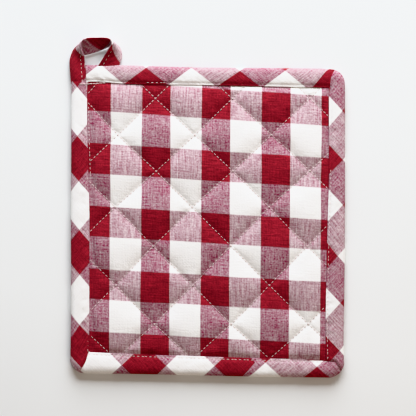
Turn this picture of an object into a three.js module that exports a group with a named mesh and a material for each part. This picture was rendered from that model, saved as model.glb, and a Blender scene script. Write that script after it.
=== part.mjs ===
// Quilted pot holder with a bias-bound edge and a hanging loop, lying on its back.
// Millimetres, +Z up. The cloth lies in the XY plane, the loop is at the +Y end,
// and the origin is under the middle of the whole outline, on the surface it lies on.

import * as THREE from "three";

// Finishes

const CLOTH_ROUGHNESS = 0.85;
const PANEL_COLOUR = 0xc7919b;
const BINDING_COLOUR = 0xb8576a;
const LOOP_COLOUR = 0x94182c;

// Driving dimensions

const CLEARANCE = 0.3;
const TAPE_THICKNESS = 1.1;
const SEWN_EDGE_HEIGHT = 5.0;

// Corners of the bound edge: the folded outer edge, the sewn inner edge, and how round the outer one is.
const CORNERS = {
  topLeft: { outerX: -100.5, outerY: 105.3, innerX: -89.4, innerY: 93.1, radius: 2.5 },
  topRight: { outerX: 101.7, outerY: 102.4, innerX: 90.2, innerY: 89.0, radius: 11 },
  bottomRight: { outerX: 101.2, outerY: -126.0, innerX: 88.0, innerY: -113.4, radius: 12 },
  bottomLeft: { outerX: -101.7, outerY: -122.7, innerX: -88.0, innerY: -107.6, radius: 11 },
};
const SEWN_CORNER_RADIUS = 1.2;

// How the hand-sewn sides stray from straight, in the order the binding runs round.
// along: 0 to 1 down the side; outerOut: folded edge bows out; innerIn: sewn edge strays in.
const SIDES = [
  {
    name: "top", from: "topLeft", to: "topRight",
    strays: [
      { along: 0, outerOut: 0, innerIn: 0 },
      { along: 0.18, outerOut: 0.5, innerIn: 1.1 },
      { along: 0.45, outerOut: -0.4, innerIn: 0.3 },
      { along: 0.85, outerOut: 0.1, innerIn: 0.2 },
      { along: 1, outerOut: 0, innerIn: 0 },
    ],
  },
  {
    name: "right", from: "topRight", to: "bottomRight",
    strays: [
      { along: 0, outerOut: 0, innerIn: 0 },
      { along: 0.35, outerOut: 0.3, innerIn: -0.8 },
      { along: 0.62, outerOut: 0.2, innerIn: 0.3 },
      { along: 0.88, outerOut: -0.5, innerIn: 0.5 },
      { along: 1, outerOut: 0, innerIn: 0 },
    ],
  },
  {
    name: "bottom", from: "bottomRight", to: "bottomLeft",
    strays: [
      { along: 0, outerOut: 0, innerIn: 0 },
      { along: 0.3, outerOut: 0.3, innerIn: -0.2 },
      { along: 0.75, outerOut: -0.3, innerIn: -0.3 },
      { along: 1, outerOut: 0, innerIn: 0 },
    ],
  },
  {
    name: "left", from: "bottomLeft", to: "topLeft",
    strays: [
      { along: 0, outerOut: 0, innerIn: 0 },
      { along: 0.2, outerOut: -0.5, innerIn: 0.4 },
      { along: 0.5, outerOut: 0, innerIn: 1.0 },
      { along: 0.85, outerOut: 0, innerIn: -0.2 },
      { along: 1, outerOut: 0, innerIn: 0 },
    ],
  },
];
const SECTIONS_PER_SIDE = 9;
const SECTIONS_PER_CORNER = 5;

// Section of the folded tape: share of its width in from the folded edge, and height.
// It runs over the top to the fold, back along the flat underside, and round inside.
const TAPE_SECTION = [
  { inward: 1.0, height: SEWN_EDGE_HEIGHT },
  { inward: 0.75, height: 5.6 },
  { inward: 0.45, height: 5.9 },
  { inward: 0.2, height: 5.4 },
  { inward: 0.06, height: 4.3 },
  { inward: 0.0, height: 2.8 },
  { inward: 0.05, height: 1.2 },
  { inward: 0.16, height: 0.0 },
  { inward: 1.0, height: 0.0 },
  { inward: 1.0, height: TAPE_THICKNESS },
  { inward: 0.2, height: TAPE_THICKNESS },
  { inward: 0.12, height: 2.8 },
  { inward: 0.24, height: 4.3 },
  { inward: 0.6, height: 4.6 },
  { inward: 1.0, height: SEWN_EDGE_HEIGHT - TAPE_THICKNESS },
];

// The quilted panel: its flange lies in the tape's fold, its middle puffs up between the stitch lines.
const FLANGE_BOTTOM = TAPE_THICKNESS + CLEARANCE;
const FLANGE_TOP = SEWN_EDGE_HEIGHT - TAPE_THICKNESS - CLEARANCE;
const FLANGE_FROM_FOLD = 2.8;
const FLANGE_CORNER_FROM_FOLD = 5.4;
const EDGE_INSET = 0.5;
const EDGE_EASE = 5;
const CHANNEL_TOP = 4.5;
const PUFF_RISE = 3.0;
const CHANNEL_LIFT = 1.3;
const UNDER_EASE = 4;
const FLAT_FROM_PUFF = 0.5;
const PUFF_FULLNESS = 0.45;

// Quilting lattice: the stitch lines run corner to corner through its cells and cross
// wherever column + row is even. Rows are hand-marked, so their spacing varies.
const LATTICE_LEFT = -96.1;
const LATTICE_COLUMN = 28.45;
const LATTICE_COLUMNS = 7;
const LATTICE_ROWS = [
  { row: -1, y: 108.0 },
  { row: 0, y: 80.6 },
  { row: 1, y: 53.6 },
  { row: 2, y: 27.0 },
  { row: 3, y: 0.4 },
  { row: 4, y: -28.5 },
  { row: 5, y: -57.3 },
  { row: 6, y: -86.1 },
  { row: 7, y: -112.0 },
  { row: 8, y: -139.0 },
];
const STEPS_PER_CELL = 6;
const GRID_MARGIN = 2.6;

// The loop of the same folded tape: its stitched upper edge and its lower edge, station by
// station from the top left corner, round the far end, and back to the top side.
const LOOP_THICKNESS = 2.0;
const LOOP_STATIONS = [
  { upperX: -90.2, upperY: 105.7, upperZ: 4.6, lowerX: -101.2, lowerY: 105.7, lowerZ: 2.2 },
  { upperX: -90.7, upperY: 108.6, upperZ: 5.9, lowerX: -101.5, lowerY: 108.3, lowerZ: 1.6 },
  { upperX: -91.2, upperY: 112.0, upperZ: 8.0, lowerX: -101.2, lowerY: 111.6, lowerZ: 1.2 },
  { upperX: -92.3, upperY: 116.2, upperZ: 10.4, lowerX: -99.6, lowerY: 115.8, lowerZ: 1.2 },
  { upperX: -92.9, upperY: 119.8, upperZ: 11.8, lowerX: -97.0, lowerY: 118.9, lowerZ: 1.2 },
  { upperX: -92.2, upperY: 122.8, upperZ: 12.0, lowerX: -93.6, lowerY: 119.6, lowerZ: 1.2 },
  { upperX: -89.6, upperY: 124.6, upperZ: 10.4, lowerX: -91.0, lowerY: 116.2, lowerZ: 1.2 },
  { upperX: -85.6, upperY: 125.4, upperZ: 8.2, lowerX: -87.8, lowerY: 113.8, lowerZ: 1.2 },
  { upperX: -81.2, upperY: 125.5, upperZ: 7.8, lowerX: -83.0, lowerY: 114.4, lowerZ: 1.2 },
  { upperX: -76.8, upperY: 125.4, upperZ: 8.8, lowerX: -78.3, lowerY: 116.1, lowerZ: 1.2 },
  { upperX: -73.0, upperY: 124.6, upperZ: 10.6, lowerX: -73.8, lowerY: 118.4, lowerZ: 1.2 },
  { upperX: -70.6, upperY: 122.7, upperZ: 11.9, lowerX: -69.6, lowerY: 120.0, lowerZ: 1.2 },
  { upperX: -70.6, upperY: 120.0, upperZ: 11.6, lowerX: -65.8, lowerY: 119.0, lowerZ: 1.2 },
  { upperX: -72.6, upperY: 116.8, upperZ: 9.6, lowerX: -63.6, lowerY: 115.6, lowerZ: 1.2 },
  { upperX: -75.8, upperY: 112.4, upperZ: 6.9, lowerX: -63.4, lowerY: 110.8, lowerZ: 1.4 },
  { upperX: -80.2, upperY: 105.7, upperZ: 4.2, lowerX: -65.0, lowerY: 105.7, lowerZ: 2.0 },
];
const LOOP_STEPS = 46;
const LOOP_BULGE = 0.5;
const LOOP_SPANS = 6;

// Points and simple maths

/** Straight-line mix of two numbers. */
function mix(start, end, share) {
  return start + (end - start) * share;
}

/** Smooth step from 0 to 1 between two values. */
function ease(value, low, high) {
  const share = Math.min(1, Math.max(0, (value - low) / (high - low)));
  return share * share * (3 - 2 * share);
}

/** Value of one named column of a table, read off between its rows. */
function readTable(table, key, at, column) {
  let next = 1;
  while (next < table.length - 1 && at > table[next][key]) {
    next += 1;
  }
  const low = table[next - 1];
  const high = table[next];
  const share = (at - low[key]) / (high[key] - low[key]);
  return mix(low[column], high[column], share);
}

/** One point on both edges of the binding, a share of the way along a side. */
function sidePoint(side, along) {
  const start = CORNERS[side.from];
  const end = CORNERS[side.to];
  const runX = end.outerX - start.outerX;
  const runY = end.outerY - start.outerY;
  const run = Math.hypot(runX, runY);
  const outX = -runY / run;
  const outY = runX / run;
  const outerOut = readTable(side.strays, "along", along, "outerOut");
  const innerIn = readTable(side.strays, "along", along, "innerIn");
  return {
    outer: [
      mix(start.outerX, end.outerX, along) + outX * outerOut,
      mix(start.outerY, end.outerY, along) + outY * outerOut,
    ],
    inner: [
      mix(start.innerX, end.innerX, along) - outX * innerIn,
      mix(start.innerY, end.innerY, along) - outY * innerIn,
    ],
  };
}

/** The same for a place given by its X (top and bottom) or its Y (left and right). */
function sideAt(sideName, place, edge) {
  const side = SIDES.find((each) => each.name === sideName);
  const axis = sideName === "top" || sideName === "bottom" ? 0 : 1;
  const start = sidePoint(side, 0)[edge][axis];
  const end = sidePoint(side, 1)[edge][axis];
  const along = Math.min(1, Math.max(0, (place - start) / (end - start)));
  return sidePoint(side, along)[edge][1 - axis];
}

/** Mesh from corner positions and triangles, each face with its own flat normal. */
function solidMesh(name, colour, points, triangles) {
  const geometry = new THREE.BufferGeometry();
  geometry.setAttribute("position", new THREE.Float32BufferAttribute(points.flat(), 3));
  geometry.setIndex(triangles.flat());
  geometry.computeVertexNormals();
  const material = new THREE.MeshStandardMaterial({
    color: colour,
    roughness: CLOTH_ROUGHNESS,
    metalness: 0,
    flatShading: true,
  });
  const mesh = new THREE.Mesh(geometry, material);
  mesh.name = name;
  return mesh;
}

/** Triangles that join rows of a closed section; a ring of sections closes on itself. */
function sectionTriangles(sectionCount, pointCount, closed) {
  const triangles = [];
  const last = closed ? sectionCount : sectionCount - 1;
  for (let section = 0; section < last; section += 1) {
    const here = section * pointCount;
    const there = ((section + 1) % sectionCount) * pointCount;
    for (let point = 0; point < pointCount; point += 1) {
      const next = (point + 1) % pointCount;
      triangles.push([here + point, there + point, there + next]);
      triangles.push([here + point, there + next, here + next]);
    }
  }
  return triangles;
}

// Binding: one strip of folded tape round all four sides, mitred at the corners

/** Outer and inner edge points, section by section, clockwise from the top left. */
function bindingSections() {
  const sections = [];
  SIDES.forEach((side, index) => {
    const start = CORNERS[side.from];
    const end = CORNERS[side.to];
    const run = Math.hypot(end.outerX - start.outerX, end.outerY - start.outerY);
    const first = start.radius / run;
    const last = 1 - end.radius / run;
    for (let step = 0; step < SECTIONS_PER_SIDE; step += 1) {
      const share = step / (SECTIONS_PER_SIDE - 1);
      const outerPlace = sidePoint(side, mix(first, last, share));
      const innerRun = run - start.radius - end.radius;
      const innerFirst = SEWN_CORNER_RADIUS / innerRun;
      const innerPlace = sidePoint(side, mix(innerFirst, 1 - innerFirst, share));
      sections.push({ outer: outerPlace.outer, inner: innerPlace.inner });
    }
    const turnStart = Math.PI / 2 - (index * Math.PI) / 2;
    for (let step = 1; step <= SECTIONS_PER_CORNER; step += 1) {
      const angle = turnStart - (step / (SECTIONS_PER_CORNER + 1)) * (Math.PI / 2);
      const diagonal = turnStart - Math.PI / 4;
      const backX = -Math.sign(Math.cos(diagonal));
      const backY = -Math.sign(Math.sin(diagonal));
      sections.push({
        outer: [
          end.outerX + end.radius * (backX + Math.cos(angle)),
          end.outerY + end.radius * (backY + Math.sin(angle)),
        ],
        inner: [
          end.innerX + SEWN_CORNER_RADIUS * (backX + Math.cos(angle)),
          end.innerY + SEWN_CORNER_RADIUS * (backY + Math.sin(angle)),
        ],
      });
    }
  });
  return sections;
}

/** The binding's closed ring, the tape section set on every pair of edge points. */
function makeBinding() {
  const sections = bindingSections();
  const points = sections.flatMap(({ outer, inner }) =>
    TAPE_SECTION.map(({ inward, height }) => [
      mix(outer[0], inner[0], inward),
      mix(outer[1], inner[1], inward),
      height,
    ]));
  const triangles = sectionTriangles(sections.length, TAPE_SECTION.length, true);
  return solidMesh("binding", BINDING_COLOUR, points, triangles);
}

// Quilted panel: padded cloth with stitched channels on both faces

/** Height of a puff, 0 on the stitch lines and 1 in the middle of a diamond. */
function puffAt(x, y) {
  const column = (x - LATTICE_LEFT) / LATTICE_COLUMN;
  const row = rowAt(y);
  const rising = Math.abs(Math.sin((Math.PI * (column + row)) / 2));
  const falling = Math.abs(Math.sin((Math.PI * (column - row)) / 2));
  return Math.pow(rising * falling, PUFF_FULLNESS);
}

/** Lattice row, as a fraction, at a height Y of the panel. */
function rowAt(y) {
  const below = LATTICE_ROWS.findIndex((each) => each.y < y);
  const low = LATTICE_ROWS[below - 1];
  const high = LATTICE_ROWS[below];
  return low.row + (low.y - y) / (low.y - high.y);
}

/** How far a place lies inside the sewn edge, with the corners eased. */
function insetAt(x, y) {
  const left = x - sideAt("left", y, "inner") - EDGE_INSET;
  const right = sideAt("right", y, "inner") - EDGE_INSET - x;
  const top = sideAt("top", x, "inner") - EDGE_INSET - y;
  const bottom = y - sideAt("bottom", x, "inner") - EDGE_INSET;
  return Math.max(0, Math.min(left, right, top, bottom));
}

/** Height of the panel's upper face. */
function panelTop(x, y) {
  const inset = insetAt(x, y);
  const channel = mix(FLANGE_TOP, CHANNEL_TOP, ease(inset, 0, EDGE_EASE));
  return channel + PUFF_RISE * puffAt(x, y) * Math.sqrt(ease(inset, 0, EDGE_EASE));
}

/** Height of the panel's under face, flat on the surface but for its channels and edge. */
function panelBottom(x, y) {
  const fromEdge = FLANGE_BOTTOM * (1 - ease(insetAt(x, y), 0, UNDER_EASE));
  const fromChannel = CHANNEL_LIFT * (1 - ease(puffAt(x, y), 0, FLAT_FROM_PUFF));
  return Math.max(fromEdge, fromChannel);
}

/** Grid lines across one direction: lattice steps inside, then the edge and the flange. */
function latticeLines(positions, low, high) {
  return positions
    .map((place, step) => ({ place, step }))
    .filter(({ place }) => place > low + GRID_MARGIN && place < high - GRID_MARGIN);
}

/** Positions of every lattice step along X. */
function columnPositions() {
  const count = LATTICE_COLUMNS * STEPS_PER_CELL;
  return Array.from({ length: count }, (_, step) => LATTICE_LEFT + (step * LATTICE_COLUMN) / STEPS_PER_CELL);
}

/** Positions of every lattice step along Y, from the top row down. */
function rowPositions() {
  return LATTICE_ROWS.slice(0, -1).flatMap(({ y }, index) =>
    Array.from({ length: STEPS_PER_CELL }, (_, step) =>
      mix(y, LATTICE_ROWS[index + 1].y, step / STEPS_PER_CELL)));
}

/** Grid of plan positions for the panel, with the lattice step of each line. */
function panelPlan() {
  const leftMost = Math.max(CORNERS.topLeft.innerX, CORNERS.bottomLeft.innerX) + 1;
  const rightMost = Math.min(CORNERS.topRight.innerX, CORNERS.bottomRight.innerX) - 1;
  const topMost = Math.min(CORNERS.topLeft.innerY, CORNERS.topRight.innerY) - 1;
  const bottomMost = Math.max(CORNERS.bottomLeft.innerY, CORNERS.bottomRight.innerY) + 1;
  const columns = latticeLines(columnPositions(), leftMost, rightMost);
  const rows = latticeLines(rowPositions(), bottomMost, topMost);
  const firstColumn = columns[0].place;
  const lastColumn = columns[columns.length - 1].place;
  const firstRow = rows[0].place;
  const lastRow = rows[rows.length - 1].place;
  const xs = [
    { at: (y) => sideAt("left", y, "outer") + FLANGE_FROM_FOLD, place: leftMost, flange: true },
    { at: (y) => sideAt("left", y, "inner") + EDGE_INSET, place: leftMost },
    { at: (y) => mix(sideAt("left", y, "inner") + EDGE_INSET, firstColumn, 0.45), place: leftMost },
    ...columns.map(({ place, step }) => ({ at: () => place, place, step })),
    { at: (y) => mix(sideAt("right", y, "inner") - EDGE_INSET, lastColumn, 0.45), place: rightMost },
    { at: (y) => sideAt("right", y, "inner") - EDGE_INSET, place: rightMost },
    { at: (y) => sideAt("right", y, "outer") - FLANGE_FROM_FOLD, place: rightMost, flange: true },
  ];
  const ys = [
    { at: (x) => sideAt("top", x, "outer") - FLANGE_FROM_FOLD, place: topMost, flange: true },
    { at: (x) => sideAt("top", x, "inner") - EDGE_INSET, place: topMost },
    { at: (x) => mix(sideAt("top", x, "inner") - EDGE_INSET, firstRow, 0.45), place: topMost },
    ...rows.map(({ place, step }) => ({ at: () => place, place, step: step - STEPS_PER_CELL })),
    { at: (x) => mix(sideAt("bottom", x, "inner") + EDGE_INSET, lastRow, 0.45), place: bottomMost },
    { at: (x) => sideAt("bottom", x, "inner") + EDGE_INSET, place: bottomMost },
    { at: (x) => sideAt("bottom", x, "outer") + FLANGE_FROM_FOLD, place: bottomMost, flange: true },
  ];
  return { xs, ys };
}

/** Plan position of one grid corner; a flange corner is pulled in to follow the round fold. */
function planPoint(column, row) {
  const x = column.at(row.place);
  const y = row.at(column.place);
  if (!column.flange || !row.flange) {
    return [x, y];
  }
  const pull = FLANGE_CORNER_FROM_FOLD - FLANGE_FROM_FOLD;
  return [x - Math.sign(x) * pull, y - Math.sign(y) * pull];
}

/** True where the cell's diagonal falls to the right, along the nearer stitch line. */
function diagonalFalls(columnStep, rowStep) {
  const repeat = 2 * STEPS_PER_CELL;
  const offLine = (value) => {
    const rest = ((value % repeat) + repeat) % repeat;
    return Math.min(rest, repeat - rest);
  };
  return offLine(columnStep - rowStep) < offLine(columnStep + rowStep + 1);
}

/** The panel: two quilted faces on one plan grid, joined round the rim of the flange. */
function makePanel() {
  const { xs, ys } = panelPlan();
  const width = xs.length;
  const height = ys.length;
  const faceSize = width * height;
  const plan = ys.flatMap((row) => xs.map((column) => planPoint(column, row)));
  const onFlange = ys.flatMap((row) => xs.map((column) => Boolean(row.flange || column.flange)));
  const points = [
    ...plan.map(([x, y], index) => [x, y, onFlange[index] ? FLANGE_TOP : panelTop(x, y)]),
    ...plan.map(([x, y], index) => [x, y, onFlange[index] ? FLANGE_BOTTOM : panelBottom(x, y)]),
  ];
  const triangles = [];
  for (let row = 0; row < height - 1; row += 1) {
    for (let column = 0; column < width - 1; column += 1) {
      const corner = row * width + column;
      const right = corner + 1;
      const below = corner + width;
      const across = below + 1;
      const falls = diagonalFalls(xs[column].step ?? column, ys[row].step ?? row);
      const upper = falls
        ? [[corner, below, across], [corner, across, right]]
        : [[corner, below, right], [right, below, across]];
      triangles.push(...upper);
      triangles.push(...upper.map(([a, b, c]) => [a + faceSize, c + faceSize, b + faceSize]));
    }
  }
  const rim = [
    ...Array.from({ length: width - 1 }, (_, step) => step),
    ...Array.from({ length: height - 1 }, (_, step) => (step + 1) * width - 1),
    ...Array.from({ length: width - 1 }, (_, step) => faceSize - 1 - step),
    ...Array.from({ length: height - 1 }, (_, step) => (height - 1 - step) * width),
  ];
  rim.forEach((here, index) => {
    const next = rim[(index + 1) % rim.length];
    triangles.push([here, next, next + faceSize]);
    triangles.push([here, next + faceSize, here + faceSize]);
  });
  return solidMesh("quilted_panel", PANEL_COLOUR, points, triangles);
}

// Hanging loop: the folded tape carried round in one twisted band

/** Smooth curve through one edge of the loop's stations. */
function loopEdge(edge) {
  const points = LOOP_STATIONS.map((station) =>
    new THREE.Vector3(station[`${edge}X`], station[`${edge}Y`], station[`${edge}Z`]));
  return new THREE.CatmullRomCurve3(points, false, "catmullrom", 0.5);
}

/** Rounded flat section of the band between its two edges, at one place along it. */
function loopSection(upper, lower, share) {
  const step = 0.01;
  const low = upper.getPoint(share);
  const high = lower.getPoint(share);
  const before = upper.getPoint(Math.max(0, share - step)).add(lower.getPoint(Math.max(0, share - step)));
  const after = upper.getPoint(Math.min(1, share + step)).add(lower.getPoint(Math.min(1, share + step)));
  const travel = after.sub(before).normalize();
  const across = high.clone().sub(low);
  const face = new THREE.Vector3().crossVectors(travel, across).normalize();
  const ring = [];
  for (let side = 1; side >= -1; side -= 2) {
    for (let span = 0; span < LOOP_SPANS; span += 1) {
      const place = side > 0 ? span / (LOOP_SPANS - 1) : 1 - span / (LOOP_SPANS - 1);
      const full = Math.sin(Math.PI * place);
      const halfThickness = (LOOP_THICKNESS / 2) * (0.7 + 0.3 * Math.sqrt(full));
      const offset = side * halfThickness + LOOP_BULGE * full;
      ring.push(low.clone().addScaledVector(across, place).addScaledVector(face, offset));
    }
  }
  return ring.map((point) => point.toArray());
}

/** The loop's closed band, with a flat cut at each end. */
function makeLoop() {
  const upper = loopEdge("upper");
  const lower = loopEdge("lower");
  const rings = Array.from({ length: LOOP_STEPS + 1 }, (_, step) =>
    loopSection(upper, lower, step / LOOP_STEPS));
  const pointCount = rings[0].length;
  const triangles = sectionTriangles(rings.length, pointCount, false);
  const lastRing = (rings.length - 1) * pointCount;
  for (let span = 0; span < LOOP_SPANS - 1; span += 1) {
    const opposite = pointCount - 1 - span;
    triangles.push([span, span + 1, opposite - 1]);
    triangles.push([span, opposite - 1, opposite]);
    triangles.push([lastRing + span, lastRing + opposite - 1, lastRing + span + 1]);
    triangles.push([lastRing + span, lastRing + opposite, lastRing + opposite - 1]);
  }
  return solidMesh("hanging_loop", LOOP_COLOUR, rings.flat(), triangles);
}

const potHolder = new THREE.Group();
potHolder.add(makePanel());
potHolder.add(makeBinding());
potHolder.add(makeLoop());

export default potHolder;
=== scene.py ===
"""Quilted gingham pot holder with bias binding and a hanging loop, lying face up.

Tables are in millimetres, as a maker would mark the cloth; meshes are in metres.
+X is right, +Y is towards the loop, +Z is up out of the face.
"""

import logging
import math
from dataclasses import dataclass, field
from enum import Enum
from typing import Callable, Optional, Sequence, Union

import bpy
import numpy as np
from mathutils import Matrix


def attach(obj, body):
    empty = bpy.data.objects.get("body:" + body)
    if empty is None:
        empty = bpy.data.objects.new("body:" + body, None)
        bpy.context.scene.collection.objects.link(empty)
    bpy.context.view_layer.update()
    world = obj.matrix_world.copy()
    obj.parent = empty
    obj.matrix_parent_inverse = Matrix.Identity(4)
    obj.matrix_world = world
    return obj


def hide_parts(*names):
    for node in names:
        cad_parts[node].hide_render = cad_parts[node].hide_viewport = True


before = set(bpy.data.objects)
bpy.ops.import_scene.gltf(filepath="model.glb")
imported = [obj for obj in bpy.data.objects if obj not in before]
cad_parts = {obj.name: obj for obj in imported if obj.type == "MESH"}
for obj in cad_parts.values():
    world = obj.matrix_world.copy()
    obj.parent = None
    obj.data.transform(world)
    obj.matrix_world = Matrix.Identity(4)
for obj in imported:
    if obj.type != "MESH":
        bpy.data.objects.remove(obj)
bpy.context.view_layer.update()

MM = 0.001
LOG = logging.getLogger("pot_holder")

Array = np.ndarray
Pair = tuple[Array, Array]
Piece = bpy.types.Object
Row = tuple[float, ...]
Table = tuple[Row, ...]
Number = Union[float, "Value"]
UP = np.array([0.0, 0.0, 1.0])
ALONG_X = np.array([1.0, 0.0, 0.0])


# Cloth plan: the outline, the sewn edge and the quilting lattice


class Edge(Enum):
    """The two edges of the binding, seen from above."""

    FOLDED = "outer"
    SEWN = "inner"


@dataclass(frozen=True)
class Corner:
    """One corner of the binding: where its folded and its sewn edges would meet, square."""

    outer: Row
    inner: Row
    radius: float


@dataclass(frozen=True)
class Side:
    """One side of the binding and how its two edges stray from a straight line."""

    start: Corner
    end: Corner
    along: Row
    outer_out: Row
    inner_in: Row

    def edge(self, share: Array, which: Edge) -> Array:
        """Points of one edge: the line from corner to corner plus its stray across it.

        Args:
            share: 0 to 1 from the start corner to the end corner.
            which: the folded or the sewn edge.

        Returns:
            Points in plan, shape (n, 2).
        """
        run = np.subtract(self.end.outer, self.start.outer)
        out = np.array([-run[1], run[0]]) / np.hypot(*run)
        first, last = (np.array(getattr(end, which.value)) for end in (self.start, self.end))
        stray = np.interp(share, self.along, self.outer_out)
        if which is Edge.SEWN:
            stray = -np.interp(share, self.along, self.inner_in)
        return first + np.outer(share, last - first) + np.outer(stray, out)

    def level(self, place: Array, which: Edge, axis: int) -> Array:
        """The edge's other coordinate at places along one axis.

        Args:
            place: X for the top and bottom sides, Y for the left and right ones.
            which: the folded or the sewn edge.
            axis: 0 where place is X, 1 where it is Y.

        Returns:
            Y or X of the edge at each place.
        """
        points = self.edge(np.linspace(0, 1, 201), which)
        order = np.argsort(points[:, axis])
        return np.interp(place, points[order, axis], points[order, 1 - axis])


TOP_LEFT = Corner((-100.5, 105.3), (-89.4, 93.1), 2.5)
TOP_RIGHT = Corner((101.7, 102.4), (90.2, 89.0), 11.0)
BOTTOM_RIGHT = Corner((101.2, -126.0), (88.0, -113.4), 12.0)
BOTTOM_LEFT = Corner((-101.7, -122.7), (-88.0, -107.6), 11.0)

TOP = Side(TOP_LEFT, TOP_RIGHT, (0, 0.05, 0.1, 0.18, 0.45, 0.85, 1),
           (0, 0.14, 0.28, 0.5, -0.4, 0.1, 0), (-0.2, -0.6, 0.1, 0.8, 0.3, 0.2, 0))
RIGHT = Side(TOP_RIGHT, BOTTOM_RIGHT, (0, 0.35, 0.62, 0.88, 1),
             (0, 0.3, 0.2, -0.5, 0), (0, -0.8, 0.3, 0.5, 0))
BOTTOM = Side(BOTTOM_RIGHT, BOTTOM_LEFT, (0, 0.3, 0.75, 1), (0, 0.3, -0.3, 0), (0, -0.2, -0.3, 0))
LEFT = Side(BOTTOM_LEFT, TOP_LEFT, (0, 0.2, 0.5, 0.85, 1),
            (0, -0.5, 0, 0, 0), (0, 0.4, 1.0, -0.2, 0))
SEWN_CORNER_RADIUS = 1.2
CORNER_ALLOWANCE = 25.0


def inset(x: Array, y: Array) -> Array:
    """How far each place lies inside the sewn edge; negative under the binding.

    Args:
        x: places along X.
        y: places along Y.

    Returns:
        The least of the four distances to the sewn sides.
    """
    return np.minimum.reduce([
        x - LEFT.level(y, Edge.SEWN, 1),
        RIGHT.level(y, Edge.SEWN, 1) - x,
        TOP.level(x, Edge.SEWN, 0) - y,
        y - BOTTOM.level(x, Edge.SEWN, 0),
    ])


def ease(value: Array, low: float, high: float) -> Array:
    """Smooth step: 3t^2 - 2t^3 with t the clipped share from low to high."""
    share = np.clip((value - low) / (high - low), 0, 1)
    return share * share * (3 - 2 * share)


def bell(distance: Array, reach: float) -> Array:
    """Bell curve exp(-(distance / reach)^2)."""
    return np.exp(-((distance / reach) ** 2))


def ripple(x: Array, y: Array, cell: float, seed: int) -> Array:
    """Smooth uneven relief from -1 to 1: random heights on a square grid, eased between.

    Args:
        x: places along the first direction.
        y: places along the second direction.
        cell: grid spacing, in the same unit.
        seed: which random heights.

    Returns:
        One height for each place.
    """
    size = 257
    heights = np.random.default_rng(seed).uniform(-1, 1, (size, size))
    column, row = np.floor(x / cell), np.floor(y / cell)
    across, along = ease(x / cell - column, 0, 1), ease(y / cell - row, 0, 1)
    left, near = column.astype(int) % size, row.astype(int) % size
    right, far = (left + 1) % size, (near + 1) % size
    low = heights[near, left] * (1 - across) + heights[near, right] * across
    high = heights[far, left] * (1 - across) + heights[far, right] * across
    return low * (1 - along) + high * along


def two_ripples(x: Array, y: Array, coarse: float, fine: float, seed: int) -> Array:
    """A coarse ripple plus half as much of a fine one, which has the next seed."""
    return ripple(x, y, coarse, seed) + 0.5 * ripple(x, y, fine, seed + 1)


@dataclass(frozen=True)
class Quilting:
    """The stitched diamond lattice.

    Places are named by a and b: the lines that fall to the right run where b is whole and
    those that rise run where a is whole. Column a + b and row a - b give the plan place.
    """

    left: float = -96.1
    column: float = 28.45
    row: Row = (-1, 0, 1, 2, 3, 4, 5, 6, 7, 8)
    row_y: Row = (108.0, 80.6, 53.6, 27.0, 0.4, -28.5, -57.3, -86.1, -112.0, -139.0)
    row_shift: Row = (0.6, 0.9, 1.1, 1.2, -0.5, -0.7, -0.3, -0.1, -0.5, -0.5)
    line_gap: float = 39.5
    stitches_to_gap: int = 13
    sway: float = 0.35
    sway_cell: float = 24.0
    corner_pull: float = 3.2
    pull_reach: float = 18.0
    ripple_shift: float = 300.0

    def place(self, a: Array, b: Array) -> Pair:
        """X and Y of lattice places, with the small sway of hand-guided sewing.

        The crossing under the top left corner lies corner_pull further right, a shift that
        dies away as a bell curve.

        Args:
            a: lattice places.
            b: lattice places.

        Returns:
            X and Y.
        """
        column, row = a + b, a - b
        x = self.left + np.interp(row, self.row, self.row_shift) + column * self.column
        y = np.interp(row, self.row, self.row_y)
        away = np.hypot(x - self.left, y - self.row_y[1]) / self.pull_reach
        x = x + self.corner_pull * np.exp(-away**2 / 2)
        shifted = x + self.ripple_shift, y + self.ripple_shift
        sway_x, sway_y = (self.sway * ripple(*shifted, self.sway_cell, seed) for seed in (41, 42))
        return x + sway_x, y + sway_y

    def relief(self, x: Array, y: Array, coarse: float, fine: float, seed: int) -> Array:
        """Two ripples at plan places."""
        return two_ripples(x + self.ripple_shift, y + self.ripple_shift, coarse, fine, seed)

    def stitches(self, rising: bool) -> Pair:
        """Lattice places of the middles of all stitches of one family of lines.

        Args:
            rising: the lines that rise to the right, where a is whole, or else the others.

        Returns:
            a and b of each middle.
        """
        steps = np.arange(-5 * self.stitches_to_gap, 9 * self.stitches_to_gap)
        line, step = np.meshgrid(np.arange(-4, 9), steps)
        line, step = line.ravel().astype(float), step.ravel() / self.stitches_to_gap
        a, b = (line, step) if rising else (step, line)
        known = (a - b > -0.9) & (a - b < 8) & (a + b > -1) & (a + b < 8)
        return a[known], b[known]


QUILTING = Quilting()


# Meshes from arrays


def unit(vectors: Array) -> Array:
    """Vectors brought to length 1."""
    return vectors / np.linalg.norm(vectors, axis=-1, keepdims=True)


def run_along(points: Array) -> Array:
    """Distance run from the first point of a line to each of its points."""
    steps = np.linalg.norm(np.diff(points, axis=0), axis=1)
    return np.concatenate([[0], np.cumsum(steps)])


def raised(plan: Array, z: Union[float, Array]) -> Array:
    """Places with a height as their last column, one for all or one for each."""
    return np.column_stack([plan, np.broadcast_to(z, len(plan))])


def grid_quads(rows: int, columns: int, close_columns: bool = False) -> Array:
    """Quads of a grid of points numbered row by row.

    Args:
        rows: how many rows of points.
        columns: points in a row.
        close_columns: join the last column to the first.

    Returns:
        Point numbers, shape (n, 4).
    """
    numbers = np.arange(rows * columns).reshape(rows, columns)
    if close_columns:
        numbers = np.concatenate([numbers, numbers[:, :1]], axis=1)
    corners = [numbers[:-1, :-1], numbers[:-1, 1:], numbers[1:, 1:], numbers[1:, :-1]]
    return np.stack([corner.ravel() for corner in corners], axis=1)


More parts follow.
